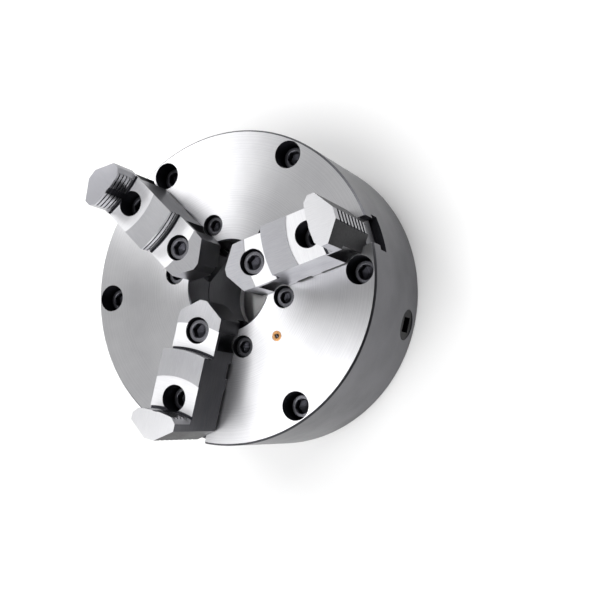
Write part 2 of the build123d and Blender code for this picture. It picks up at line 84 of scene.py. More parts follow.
def add_node(tree: bpy.types.NodeTree, kind: str, settings: dict | None = None, **links) -> bpy.types.Node:
    """Adds one shader node with its settings and links.

    Args:
        tree: the node tree of a material or of the surroundings.
        kind: the node's type, without its first word.
        settings: attributes by name, and input values by name or by index.
        links: output sockets by input name, with spaces as underscores, or by i and an index.

    Returns:
        The new node.
    """
    new = tree.nodes.new(f"ShaderNode{kind}")
    for key, value in (settings or {}).items():
        if isinstance(key, int) or key in new.inputs:
            new.inputs[key].default_value = value
        else:
            setattr(new, key, value)
    for name, output in links.items():
        socket = int(name[1:]) if name[0] == "i" else name.replace("_", " ")
        tree.links.new(output, new.inputs[socket])
    return new


def add_ramp(
    tree: bpy.types.NodeTree, factor: bpy.types.NodeSocket, stops: Sequence[float], tones: Sequence[str]
) -> bpy.types.NodeSocket:
    """Adds a ramp between two sRGB hex colours and gives its colour socket."""
    ramp = add_node(tree, "ValToRGB", Fac=factor)
    for stop, place, tone in zip(ramp.color_ramp.elements, stops, tones):
        stop.position = place
        stop.color = linear(tone)
    return ramp.outputs["Color"]


# ---- finishes ----

TILT = 0.15  # lean of the ground marks' direction, so that it is never square to an end face
STRETCH = 0.04  # ground scratches are 25 times as long as they are wide
CLOUD_SIZE = 35.0  # patches of handling and oil, in millimetres across
MARK_SHARE = 0.45  # share of the tone that the marks give
CLOUD_SHARE = 0.55  # share of the tone that the patches give
TONE_STOPS = (0.3, 0.62)  # where the dark and the light colour stand
ROUGH_STOPS = (0.3, 0.7)  # where the roughest and the smoothest places stand


class Grain(Enum):
    """How a metal surface was made, which sets the pattern of its marks."""

    TURNED = "fine rings left by a lathe tool"
    GROUND = "short straight scratches left by a grinding wheel"
    BLACKED = "soft mottling of an oxide bath"
    LAPPED = "nearly mark-free polish"


@dataclass(frozen=True)
class MetalFinish:
    """One metal finish: its colours, its gloss and its marks.

    Args:
        title: the metal and how its surface was made.
        light: sRGB hex of the clean metal.
        dark: sRGB hex of its duller patches.
        roughness: typical roughness of the surface.
        spread: how far the roughness strays from patch to patch.
        grain: the kind of marks.
        spacing: distance between marks, in millimetres.
        depth: height of the marks, in millimetres.
        heading: direction of ground scratches, in degrees from the first jaw.
        metallic: 1 for bare metal, less under an oxide film.
        streak: how far highlights are drawn out across the marks, from 0 to 1.
    """

    title: str
    light: str
    dark: str
    roughness: float
    spread: float
    grain: Grain
    spacing: float
    depth: float
    heading: float = 0.0
    metallic: float = 1.0
    streak: float = 0.0

    def marks(self, tree: bpy.types.NodeTree, place: bpy.types.NodeSocket) -> bpy.types.NodeSocket:
        """Draws the marks of the grain over the Object coordinates, at heights from 0 to 1."""
        per_metre = 1.0 / (self.spacing * MM)
        if self.grain is Grain.TURNED:
            flat = add_node(tree, "VectorMath", {"operation": "MULTIPLY", 1: (1, 1, 0)}, i0=place)
            reach = add_node(tree, "VectorMath", {"operation": "LENGTH"}, i0=flat.outputs[0]).outputs["Value"]
            height = add_node(tree, "SeparateXYZ", i0=place).outputs["Z"]
            both = add_node(tree, "Math", {"operation": "ADD"}, i0=reach, i1=height)
            rings = add_node(tree, "Math", {"operation": "MULTIPLY", 1: per_metre}, i0=both.outputs[0])
            lines = {"noise_dimensions": "1D", "normalize": True, "Scale": 1.0, "Detail": 3.0}
            return add_node(tree, "TexNoise", lines, W=rings.outputs[0]).outputs["Fac"]
        if self.grain is Grain.GROUND:
            turn = add_node(tree, "Mapping", {"Rotation": (0, 0, -math.radians(self.heading))}, Vector=place)
            longer = {"operation": "MULTIPLY", 1: (STRETCH, 1.0, 1.0)}
            place = add_node(tree, "VectorMath", longer, i0=turn.outputs[0]).outputs[0]
        detail = {Grain.GROUND: 4.0, Grain.BLACKED: 6.0, Grain.LAPPED: 2.0}[self.grain]
        specks = {"normalize": True, "Scale": per_metre, "Detail": detail}
        return add_node(tree, "TexNoise", specks, Vector=place).outputs["Fac"]

    def across_marks(self, tree: bpy.types.NodeTree, place: bpy.types.NodeSocket) -> bpy.types.NodeSocket:
        """Finds the direction across the marks, in which they draw highlights out."""
        surface = add_node(tree, "NewGeometry").outputs["Normal"]
        across = add_node(tree, "VectorMath", {"operation": "CROSS_PRODUCT"}, i0=surface)
        if self.grain is Grain.TURNED:
            around = add_node(tree, "VectorMath", {"operation": "CROSS_PRODUCT", 1: (0, 0, 1)}, i0=place)
            tree.links.new(around.outputs[0], across.inputs[1])
        else:
            across.inputs[1].default_value = (*polar(1, self.heading), TILT)
        return add_node(tree, "VectorMath", {"operation": "NORMALIZE"}, i0=across.outputs[0]).outputs[0]

    def build(self) -> bpy.types.Material:
        """Makes the material, or returns it if it was made before."""
        found = bpy.data.materials.get(self.title)
        if found:
            return found
        material = bpy.data.materials.new(self.title)
        material.use_nodes = True
        tree = material.node_tree
        shader = tree.nodes["Principled BSDF"]
        shader.inputs["Metallic"].default_value = self.metallic
        place = add_node(tree, "TexCoord").outputs["Object"]
        if self.streak:
            shader.inputs["Anisotropic"].default_value = self.streak
            tree.links.new(self.across_marks(tree, place), shader.inputs["Tangent"])
        marks = self.marks(tree, place)
        patches = {"normalize": True, "Scale": 1.0 / (CLOUD_SIZE * MM), "Detail": 5.0}
        cloud = add_node(tree, "TexNoise", patches, Vector=place).outputs["Fac"]
        part = add_node(tree, "Math", {"operation": "MULTIPLY", 1: CLOUD_SHARE}, i0=cloud).outputs[0]
        blend = add_node(tree, "Math", {"operation": "MULTIPLY_ADD", 1: MARK_SHARE}, i0=marks, i2=part)
        tone = add_ramp(tree, blend.outputs[0], TONE_STOPS, (self.dark, self.light))
        tree.links.new(tone, shader.inputs["Base Color"])
        reach = {
            "From Min": ROUGH_STOPS[0],
            "From Max": ROUGH_STOPS[1],
            "To Min": self.roughness + self.spread,
            "To Max": self.roughness - self.spread,
        }
        rough = add_node(tree, "MapRange", reach, Value=blend.outputs[0])
        tree.links.new(rough.outputs["Result"], shader.inputs["Roughness"])
        bump = add_node(tree, "Bump", {"Strength": 1.0, "Distance": self.depth * MM}, Height=marks)
        tree.links.new(bump.outputs["Normal"], shader.inputs["Normal"])
        return material


# fine facing cut across the front: light fans out from the spindle in bright and grey sectors
FACED_STEEL = MetalFinish(
    "faced_steel_fine_turned", "D2D2D4", "B9B9BC", 0.36, 0.04, Grain.TURNED, 0.6, 0.003, streak=0.75
)
# outside of the body, turned: darker than the face as a painted shade, with a softer sheen
RIM_PAINTED_SHADE = MetalFinish("turned_rim_steel_painted_shade", "5E5E62", "4A4A4E", 0.34, 0.05, Grain.TURNED, 0.5, 0.003)
# through bore: darker than the face as a painted shade of the bore, yet a little brighter than the painted
# shade of the blind recesses
BORE_PAINTED_SHADE = MetalFinish("bore_steel_painted_shade", "6A6A6E", "4C4C50", 0.34, 0.06, Grain.TURNED, 0.7, 0.004)
# bored and milled recesses: dark as a painted shade, so that next to no light comes back out of them
RECESS_PAINTED_SHADE = MetalFinish(
    "machined_recess_painted_shade", "44444A", "26262A", 0.5, 0.08, Grain.TURNED, 0.8, 0.006
)


def jaw_shades(
    title: str, tones: Sequence[tuple[str, str]], *make: float, turn: float = 0.0, streak: float = 0.0
) -> list[MetalFinish]:
    """Gives each jaw its own copy of a finish, ground along it or turned from that, in that jaw's tones;
    tones that differ from jaw to jaw paint light and shade.
    """
    rough, spread, spacing, depth = make
    return [
        MetalFinish(
            f"{title}_{n + 1}", *pair, rough, spread, Grain.GROUND, spacing, depth, JAW_STEP * n + turn,
            streak=streak,
        )
        for n, pair in enumerate(tones)
    ]


# hard jaws, surface-ground along their length: grey steel, each jaw in its own tone, a painted light and
# shade of how the lamps fall on it
HARD_PAINTED_LIGHT_TONES = (("A0A0A4", "8C8C90"), ("B6B6B9", "A2A2A6"), ("AEAEB1", "9A9A9E"))
JAW_STEEL = jaw_shades("ground_jaw_steel_painted_light", HARD_PAINTED_LIGHT_TONES, 0.34, 0.04, 0.35, 0.003, streak=0.5)
# tops of the towers, ground along the jaw: lighter than the lands as a painted highlight, and darker on the
# second jaw as painted shade
TOP_PAINTED_LIGHT_TONES = (("D2D2D4", "C0C0C3"), ("96969A", "86868B"), ("CECED0", "BEBEC1"))
JAW_TOP_STEEL = jaw_shades("ground_jaw_top_painted_light", TOP_PAINTED_LIGHT_TONES, 0.36, 0.04, 0.4, 0.003, streak=0.4)
# sides of the jaws, ground along them: darker than the tops as painted shade, darkest on the third jaw
SIDE_PAINTED_SHADE_TONES = (("96969A", "7E7E83"), ("86868A", "6E6E73"), ("5A5A5E", "48484C"))
JAW_SIDE_STEEL = jaw_shades("ground_jaw_side_painted_shade", SIDE_PAINTED_SHADE_TONES, 0.36, 0.05, 0.4, 0.004)
# relieved steps of the jaws, freshly milled across: whiter and more matt than the ground lands
RELIEF_TONES = (("DEDEE0", "CCCCCF"),) * JAW_COUNT
JAW_RELIEF_STEEL = jaw_shades("milled_jaw_relief_steel", RELIEF_TONES, 0.46, 0.05, 0.6, 0.006, turn=90)
# slanted end faces and screw-head notches of the jaws: nearly black as a painted shade, with a faint mottle
JAW_END_PAINTED_SHADE = MetalFinish(
    "jaw_end_steel_painted_shade", "18181B", "0D0D10", 0.42, 0.08, Grain.BLACKED, 1.6, 0.008
)
# slides, hardened, ground and greased: dark as a painted shade of the bore they are seen down, with a soft
# shine
SLIDE_PAINTED_SHADE = MetalFinish(
    "greased_slide_steel_painted_shade", "5C5C60", "424246", 0.36, 0.06, Grain.GROUND, 0.5, 0.004
)
# scroll plate, turned and hardened, under the same grease: rings show in its shine
SCROLL_STEEL = MetalFinish(
    "hardened_scroll_steel_greased", "85858A", "66666B", 0.35, 0.06, Grain.TURNED, 0.6, 0.005
)
# key pinions, blackened: nearly black as a painted shade of the rim holes they sit in
PINION_PAINTED_SHADE = MetalFinish(
    "blackened_pinion_painted_shade", "131315", "09090B", 0.48, 0.08, Grain.BLACKED, 1.4, 0.006
)
# cap screws out of a black oxide bath: dark grey, with a soft oily sheen
BLACK_SCREW = MetalFinish(
    "black_oxide_screw_steel", "727277", "48484C", 0.33, 0.07, Grain.BLACKED, 1.2, 0.005
)
# rims of the screw heads: a painted highlight, a bright ring round the dark oxide head
SCREW_RIM_PAINTED_HIGHLIGHT = MetalFinish(
    "black_oxide_screw_painted_highlight", "C0C0C4", "88888C", 0.3, 0.06, Grain.BLACKED, 0.9, 0.004
)
# turned brass of the ball oiler: pale and warm, slightly tarnished
OILER_BRASS = MetalFinish("turned_brass_oiler", "E2B07C", "B9804E", 0.28, 0.06, Grain.TURNED, 0.4, 0.003)
# bearing ball, lapped and oiled: a dark mirror, its dark tone a painted shade of the oiler's hole
BALL_PAINTED_SHADE = MetalFinish(
    "lapped_ball_steel_painted_shade", "5A5A5E", "46464A", 0.14, 0.03, Grain.LAPPED, 0.8, 0.0005
)
# bright drawn spring wire and ground pins
WIRE_STEEL = MetalFinish("bright_drawn_wire_steel", "B4B4B8", "96969A", 0.3, 0.05, Grain.LAPPED, 0.5, 0.002)


@dataclass(frozen=True)
class FloorFinish:
    """Seamless white studio paper: matt, with only a faint unevenness."""

    light: str = "F6F6F6"
    dark: str = "F1F1F1"
    roughness: float = 0.95
    gloss: float = 0.1
    patches: float = 6.0

    def build(self) -> bpy.types.Material:
        """Makes the paper's material."""
        material = bpy.data.materials.new("matt_white_studio_paper")
        material.use_nodes = True
        tree = material.node_tree
        shader = tree.nodes["Principled BSDF"]
        shader.inputs["Roughness"].default_value = self.roughness
        shader.inputs["Specular IOR Level"].default_value = self.gloss
        place = add_node(tree, "TexCoord").outputs["Object"]
        cloud = add_node(tree, "TexNoise", {"Scale": self.patches}, Vector=place)
        tone = add_ramp(tree, cloud.outputs["Fac"], (0, 1), (self.dark, self.light))
        tree.links.new(tone, shader.inputs["Base Color"])
        return material


# ---- bench work shared by all the pieces ----

OVERCUT = 1.0  # how far a cutter stands proud of the metal, in millimetres
CLEAR = 5.0  # how far a cutter runs out on an open side, in millimetres
AT_HEIGHT = 1e-6  # how near a corner counts as at a height, in metres
AT_RADIUS = 2e-5  # how near a corner counts as at a radius, in metres
CUT_GAP = 1e-7  # how near a corner counts as on a saw cut, in metres
SMOOTH_ANGLE = 32.0  # edges blunter than this many degrees are smoothed
FLAT_WEIGHT = 80  # how strongly large flat faces keep their own normals


class Bench:
    """The modelling steps that the sub-assemblies share, all in millimetres."""

    @staticmethod
    def release() -> None:
        """Leaves edit mode and deselects everything."""
        if bpy.context.object and bpy.context.object.mode != "OBJECT":
            bpy.ops.object.mode_set(mode="OBJECT")
        bpy.ops.object.select_all(action="DESELECT")

    @staticmethod
    def hold(piece: bpy.types.Object) -> None:
        """Makes a piece the only selected and active object."""
        Bench.release()
        piece.select_set(True)
        bpy.context.view_layer.objects.active = piece

    @staticmethod
    def open_up(piece: bpy.types.Object, choose: str = "SELECT", kind: str | None = None) -> None:
        """Opens a piece in edit mode, with all of it selected, or nothing.

        Args:
            piece: the piece.
            choose: what to do with its whole mesh, SELECT or DESELECT.
            kind: what is selected from here on, VERT or EDGE, or None to leave that as it is.
        """
        Bench.hold(piece)
        bpy.ops.object.mode_set(mode="EDIT")
        if kind:
            bpy.ops.mesh.select_mode(type=kind)
        bpy.ops.mesh.select_all(action=choose)

    @staticmethod
    def settle(piece: bpy.types.Object) -> bpy.types.Object:
        """Puts a piece's place into its mesh, so that its object sits at the origin."""
        Bench.hold(piece)
        bpy.ops.object.transform_apply(location=True, rotation=True, scale=True)
        return piece

    @staticmethod
    def fresh(name: str) -> bpy.types.Object:
        """Names and settles the primitive that was just added."""
        piece = bpy.context.object
        piece.name = name
        piece.data.name = name
        return Bench.settle(piece)

    @staticmethod
    def dress(piece: bpy.types.Object, *finishes: MetalFinish) -> None:
        """Adds finishes to a piece, in order."""
        for finish in finishes:
            piece.data.materials.append(finish.build())

    @staticmethod
    def drum(
        radius: float,
        low: float,
        high: float,
        at: Sequence[float] = (0, 0),
        sides: int = 96,
        name: str = "drum",
    ) -> bpy.types.Object:
        """Adds an upright cylinder.

        Args:
            radius: its radius.
            low: height of its foot.
            high: height of its top.
            at: its axis on the plan.
            sides: number of flats round it.
            name: name of the object.
        """
        Bench.release()
        place = (at[0] * MM, at[1] * MM, (low + high) / 2 * MM)
        bpy.ops.mesh.primitive_cylinder_add(
            vertices=sides, radius=radius * MM, depth=(high - low) * MM, location=place
        )
        return Bench.fresh(name)

    @staticmethod
    def taper(
        foot: float, top: float, low: float, high: float, at: Sequence[float] = (0, 0), sides: int = 96
    ) -> bpy.types.Object:
        """Adds an upright cone frustum between two radii and two heights."""
        Bench.release()
        place = (at[0] * MM, at[1] * MM, (low + high) / 2 * MM)
        bpy.ops.mesh.primitive_cone_add(
            vertices=sides, radius1=foot * MM, radius2=top * MM, depth=(high - low) * MM, location=place
        )
        return Bench.fresh("taper")

    @staticmethod
    def block(low: Sequence[float], high: Sequence[float], name: str = "block") -> bpy.types.Object:
        """Adds a box between two corners."""
        Bench.release()
        middle = [(a + b) / 2 * MM for a, b in zip(low, high)]
        size = [(b - a) * MM for a, b in zip(low, high)]
        bpy.ops.mesh.primitive_cube_add(size=1, location=middle, scale=size)
        return Bench.fresh(name)

    @staticmethod
    def turned(piece: bpy.types.Object, angle: float, name: str | None = None) -> bpy.types.Object:
        """Copies a piece, with its own mesh, and turns the copy round the spindle axis."""
        twin = piece.copy()
        twin.data = piece.data.copy()
        bpy.context.scene.collection.objects.link(twin)
        if name:
            twin.name = name
            twin.data.name = name
        twin.rotation_euler = (0, 0, math.radians(angle))
        return Bench.settle(twin)

    @staticmethod
    def shifted(piece: bpy.types.Object, by: Sequence[float]) -> bpy.types.Object:
        """Copies a piece, with its own mesh, and moves the copy."""
        twin = Bench.turned(piece, 0)
        twin.location = [v * MM for v in by]
        return Bench.settle(twin)

    @staticmethod
    def apply(piece: bpy.types.Object, kind: str, **settings) -> None:
        """Adds one modifier with its settings and applies it."""
        Bench.hold(piece)
        modifier = piece.modifiers.new("step", kind)
        for key, value in settings.items():
            setattr(modifier, key, value)
        bpy.ops.object.modifier_apply(modifier=modifier.name)

    @staticmethod
    def cut(
        piece: bpy.types.Object, tools: Iterable[bpy.types.Object], finish: MetalFinish | None = None
    ) -> None:
        """Cuts the tools' shapes out of a piece and puts the tools away.

        Args:
            piece: what is cut.
            tools: the shapes to remove.
            finish: the finish of the new faces, or None for the piece's own.
        """
        tray = bpy.data.collections.new("tools")
        bpy.context.scene.collection.children.link(tray)
        tools = list(tools)
        for tool in tools:
            if finish:
                tool.data.materials.clear()
                Bench.dress(tool, finish)
            for home in list(tool.users_collection):
                home.objects.unlink(tool)
            tray.objects.link(tool)
        if finish and finish.title not in [m.name for m in piece.data.materials]:
            Bench.dress(piece, finish)
        Bench.apply(
            piece, "BOOLEAN", operation="DIFFERENCE", solver="EXACT", operand_type="COLLECTION",
            collection=tray, material_mode="TRANSFER" if finish else "INDEX",
        )
        for tool in tools:
            bpy.data.meshes.remove(tool.data)
        bpy.data.collections.remove(tray)

    @staticmethod
    def join(pieces: Sequence[bpy.types.Object], name: str) -> bpy.types.Object:
        """Joins pieces into one object."""
        Bench.hold(pieces[0])
        for piece in pieces:
            piece.select_set(True)
        bpy.ops.object.join()
        pieces[0].name = name
        pieces[0].data.name = name
        return pieces[0]

    @staticmethod
    def slice_off(piece: bpy.types.Object, point: Sequence[float], normal: Sequence[float]) -> None:
        """Saws off what lies beyond a plane and closes the cut."""
        Bench.open_up(piece)
        place = [v * MM for v in point]
        bpy.ops.mesh.bisect(
            plane_co=place, plane_no=normal, use_fill=True, clear_outer=True, threshold=CUT_GAP
        )
        bpy.ops.object.mode_set(mode="OBJECT")

    @staticmethod
    def chamfer_ring(
        piece: bpy.types.Object, height: float, radius: float, width: float, steps: int = 1
    ) -> None:
        """Bevels the round edge at one height and radius about the spindle axis."""
        Bench.open_up(piece, "DESELECT", "EDGE")
        bpy.ops.object.mode_set(mode="OBJECT")
        corners = piece.data.vertices
        for edge in piece.data.edges:
            ends = [corners[i].co for i in edge.vertices]
            edge.select = all(
                abs(p.z - height * MM) < AT_HEIGHT and abs(p.xy.length - radius * MM) < AT_RADIUS
                for p in ends
            )
        bpy.ops.object.mode_set(mode="EDIT")
        bpy.ops.mesh.bevel(offset=width * MM, segments=steps, affect="EDGES")
        bpy.ops.object.mode_set(mode="OBJECT")

    @staticmethod
    def soften(piece: bpy.types.Object, width: float, limit: float = 35.0, steps: int = 2) -> None:
        """Breaks the sharp edges of a machined piece.

        Args:
            piece: the finished shape.
            width: width of the broken edge.
            limit: edges sharper than this many degrees are broken.
            steps: facets across the broken edge.
        """
        Bench.apply(
            piece, "BEVEL", width=width * MM, segments=steps, limit_method="ANGLE",
            angle_limit=math.radians(limit), use_clamp_overlap=True, miter_outer="MITER_SHARP",
        )

    @staticmethod
    def even_normals(piece: bpy.types.Object) -> None:
        """Smooths the round faces and keeps the flat ones flat, once a piece is in its place."""
        Bench.hold(piece)
        bpy.ops.object.shade_smooth_by_angle(angle=math.radians(SMOOTH_ANGLE))
        Bench.apply(piece, "WEIGHTED_NORMAL", keep_sharp=True, weight=FLAT_WEIGHT)


def hang(piece: bpy.types.Object, body: str, nodes: Sequence[str] = ()) -> None:
    """Hangs a finished piece on its CAD body and hides the CAD nodes that it stands for.

    Args:
        piece: the finished piece.
        body: the CAD body that it moves with.
        nodes: the CAD nodes that it replaces.
    """
    Bench.even_normals(piece)
    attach(piece, body)
    if nodes:
        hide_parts(*nodes)
    log.info("%s: %d faces, rides on %s", piece.name, len(piece.data.polygons), body)


# ---- sub-assemblies ----


@dataclass
class ChuckBody:
    """The round body with its bore, T-slots, screw holes and pinion bores."""

    radius: float = RIM
    height: float = FACE
    bore: float = 36.0
    bar: float = 35.5
    bore_step: float = 64.0
    front_chamfer: float = 1.5
    rear_chamfer: float = 1.0
    neck_half: float = 11.0
    neck_depth: float = 14.5
    wing_half: float = 14.5
    wing_depth: float = 26.0
    register: tuple[float, float] = (105.0, 5.0)
    pocket: tuple[float, float] = (98.0, 74.2)
    hub: tuple[float, float] = (57.94, 12.0)
    mount_circle: tuple[float, float, int] = (112.0, -14.0, 6)
    mount_hole: tuple[float, float, float] = (6.75, 11.0, 42.0)
    hub_circle: tuple[float, float, int] = (51.0, 30.0, 6)
    hub_hole: tuple[float, float, float] = (5.3, 8.7, 13.5)
    pinion_bore: tuple[float, float, float] = (12.5, 19.0, -30.0)
    pin_hole: tuple[float, float] = (3.0, 13.0)
    oiler_hole: tuple[float, float, float, float] = (4.0, 9.0, 60.5, -60.0)
    bore_mouth: float = 2.0
    slot_reach: float = 8.0
    slot_overrun: float = 3.0
    pinion_lead: float = 4.0
    edge: float = 0.3

    def slot_tools(self) -> list[bpy.types.Object]:
        """Makes the cutters of the three T-slots."""
        floor = self.height - self.wing_depth
        inner, outer = self.bore - self.slot_reach, self.radius + self.slot_overrun
        neck = Bench.block((inner, -self.neck_half, floor), (outer, self.neck_half, self.height + OVERCUT))
        roof = self.height - self.neck_depth
        # a hair deeper than the neck, so that the two floors never coincide
        wing = Bench.block((inner, -self.wing_half, floor - 0.01), (outer, self.wing_half, roof))
        tools = [neck, wing]
        for n in range(1, JAW_COUNT):
            tools += [Bench.turned(tool, n * JAW_STEP) for tool in (neck, wing)]
        return tools

    def screw_tools(self, circle: tuple, hole: tuple, foot: float) -> list[bpy.types.Object]:
        """Makes the cutters of one circle of counterbored screw holes."""
        ring, start, count = circle
        shank, head, depth = hole
        tools = []
        for k in range(count):
            at = polar(ring, start + k * 360 / count)
            tools.append(Bench.drum(head, self.height - depth, self.height + OVERCUT, at, 72))
            tools.append(Bench.drum(shank, foot, self.height - depth + OVERCUT, at, 48))
        return tools

    def pinion_tools(self) -> list[bpy.types.Object]:
        """Makes the cutters of the three pinion bores and their pin holes."""
        radius, height, start = self.pinion_bore
        length = self.radius - self.pocket[0] + 2 * self.pinion_lead
        bore = Bench.drum(radius, 0, length, sides=72)
        bore.rotation_euler = (0, math.radians(90), 0)
        bore.location = ((self.pocket[0] - self.pinion_lead) * MM, 0, height * MM)
        Bench.settle(bore)
        tools = [Bench.turned(bore, start + n * JAW_STEP) for n in range(JAW_COUNT)]
        bpy.data.meshes.remove(bore.data)
        pin, inset = self.pin_hole
        for n in range(JAW_COUNT):
            at = polar(self.radius - inset, start + n * JAW_STEP)
            tools.append(Bench.drum(pin, -OVERCUT, height, at, 32))
        return tools

    def build(self) -> None:
        """Turns the blank, cuts it and hangs it on the frame."""
        body = Bench.drum(self.radius, 0, self.height, sides=256, name="chuck_body")
        Bench.chamfer_ring(body, self.height, self.radius, self.front_chamfer)
        Bench.chamfer_ring(body, 0, self.radius, self.rear_chamfer)
        Bench.dress(body, FACED_STEEL, RIM_PAINTED_SHADE)
        # the top takes the faced steel, every other outer face the rim's painted shade
        for face in body.data.polygons:
            face.material_index = 0 if face.normal.z > 0.9 else 1
        ring, wall = self.pocket
        above, mouth = self.height + OVERCUT, self.bore_mouth
        pocket = Bench.drum(ring, self.register[1] - OVERCUT, wall, sides=192)
        Bench.cut(pocket, [Bench.drum(self.hub[0], self.hub[1], wall + OVERCUT, sides=160)])
        bore = [
            Bench.drum(self.bar, -OVERCUT, above, sides=160),
            Bench.drum(self.bore, self.bore_step, above, sides=160),
            Bench.taper(self.bore - OVERCUT, self.bore + mouth, self.height - mouth, above, sides=160),
        ]
        # the bore's wall takes its painted shade
        Bench.cut(body, bore, BORE_PAINTED_SHADE)
        reach, depth, circle, heading = self.oiler_hole
        tools = [
            pocket,
            Bench.drum(self.register[0], -OVERCUT, self.register[1], sides=192),
            Bench.drum(reach, self.height - depth, above, polar(circle, heading), 48),
        ]
        tools += self.slot_tools() + self.pinion_tools()
        tools += self.screw_tools(self.mount_circle, self.mount_hole, -OVERCUT)
        tools += self.screw_tools(self.hub_circle, self.hub_hole, self.hub[1] - 2 * OVERCUT)
        # slots, pocket, register, oiler, pinion and screw holes take the recesses' painted shade
        Bench.cut(body, tools, RECESS_PAINTED_SHADE)
        Bench.soften(body, self.edge)
        hang(body, "chuck_body", ["body"])


@dataclass
class TopJaw:
    """One stepped hard jaw, with a pointed nose, two steps and a tower."""

    half: float = 19.0
    foot: float = FACE + 0.5
    nose_tip: tuple[float, float] = (16.0, 2.9)
    nose_shoulder: tuple[float, float] = (27.0, 18.7)
    nose_side: tuple[float, float] = (33.0, 19.0)
    side_end: tuple[float, float] = (112.5, 19.0)
    jaw_end: tuple[float, float] = (122.8, 4.3)
    first_step: float = FACE + 29.0
    second_step: float = FACE + 40.0
    tower_top: float = FACE + 60.0
    relief: float = 0.6
    relief_rise: float = 0.4
    land_a: tuple[float, float] = (34.8, 90.0)
    land_b: tuple[float, float] = (76.0, 55.0)
    grip_b: float = 55.5
    grip_tower: float = 101.8
    grip_curve: float = 90.0
    facets: int = 288
    undercut: tuple[float, float, float] = (2.2, 1.2, 0.3)
    groove: tuple[float, float] = (1.4, 0.8)
    screw_places: tuple[float, float] = (39.2, 92.0)
    screw_hole: tuple[float, float] = (6.6, 10.2)
    seat: float = FACE + 14.0
    base_relief: tuple[float, float] = (80.0, 1.8)
    base_rail: float = 12.0
    key_centre: float = 65.6
    key_slot: tuple[float, float, float] = (4.1, 6.1, 3.3)
    groove_rows: tuple[int, int] = (2, 4)
    row_lead: float = 0.75
    row_spare: float = 0.6
    groove_lead: float = 1.0
    end_rows: tuple[int, float, float] = (8, 8.0, 6.2)
    end_groove: tuple[float, float] = (9.0, 1.5)
    corner: tuple[float, float] = (4.0, 5.3)
    hub_notch: tuple[float, float, float] = (9.3, 51.0, 30.0)
    mount_notch: tuple[float, float, float] = (11.6, 112.0, -14.0)
    notch_roof: float = 4.0
    beside: float = 40.0
    beyond: float = 140.0
    edge: float = 0.35

    def blank(self, name: str) -> bpy.types.Object:
        """Saws the outline of the jaw out of a bar."""
        tip, shoulder, side = self.nose_tip, self.nose_shoulder, self.nose_side
        end, last = self.side_end, self.jaw_end
        jaw = Bench.block((tip[0], -self.half, self.foot), (last[0], self.half, self.tower_top), name)
        for a, b in ((tip, shoulder), (shoulder, side), (end, last)):
            normal = Vector((-(b[1] - a[1]), b[0] - a[0], 0)).normalized()
            for flip in (1, -1):
                Bench.slice_off(jaw, (a[0], flip * a[1], self.foot), (normal.x, flip * normal.y, 0))
        return jaw

    def dress_outline(self, jaw: bpy.types.Object) -> None:
        """Dresses the sides, and gives the slanted faces of the outer end a near-black painted shade."""
        Bench.dress(jaw, JAW_STEEL[0], JAW_SIDE_STEEL[0], JAW_TOP_STEEL[0], JAW_END_PAINTED_SHADE)
        # the fourth slot, scale, holds the near-black painted shade of the slanted end faces
        land, side, top, scale = range(4)
        for face in jaw.data.polygons:
            upright = abs(face.normal.z) < 0.1
            if upright and face.center.x > self.side_end[0] * MM and face.normal.x < 0.95:
                face.material_index = scale
            elif abs(face.normal.y) > 0.95 or (upright and face.center.x < self.nose_side[0] * MM):
                # sides take their painted shade
                face.material_index = side
            else:
                # tops take the painted highlight of the tower tops
                face.material_index = top if face.normal.z > 0.9 else land

    def curve(self, start: float, radius: float, low: float, high: float) -> bpy.types.Object:
        """Makes a big drum whose side passes through one place on the jaw's axis."""
        return Bench.drum(radius, low, high, (start + radius, 0), self.facets)

    def step_tool(self, face: float, level: float) -> bpy.types.Object:
        """Makes the cutter that clears what stands in front of a grip face."""
        side, above = self.half + CLEAR, self.tower_top + CLEAR
        tool = Bench.block((0, -side, level), (face + 2 * CLEAR, side, above))
        Bench.cut(tool, [self.curve(face, self.grip_curve, level - OVERCUT, above + CLEAR)])
        return tool

    def relief_tool(self, land: tuple[float, float], face: float, level: float) -> bpy.types.Object:
        """Makes the cutter that lowers a step between its land and the grip face behind it."""
        tool = self.curve(land[0], land[1], level - self.relief, level + self.relief_rise)
        Bench.cut(tool, [self.curve(face, self.grip_curve, level - 2 * OVERCUT, level + 2 * OVERCUT)])
        return tool

    def ring_tool(
        self, face: float, ahead: float, behind: float, low: float, high: float
    ) -> bpy.types.Object:
        """Makes the cutter of a groove along a grip face."""
        radius = self.grip_curve
        tool = self.curve(face - ahead, radius + ahead, low, high)
        Bench.cut(tool, [self.curve(face + behind, radius - behind, low - OVERCUT, high + OVERCUT)])
        return tool

    def corner_tool(self, flip: int) -> bpy.types.Object:
        """Makes the cutter that takes off one inner corner of the tower."""
        half, back = self.corner
        tool = Bench.block((-half, -half, self.second_step), (half, half, self.tower_top + 2 * OVERCUT))
        tool.rotation_euler = (0, 0, math.radians(45))
        place = self.grip_tower + back - half * math.sqrt(2)
        tool.location = (place * MM, flip * self.half * MM, 0)
        return Bench.settle(tool)

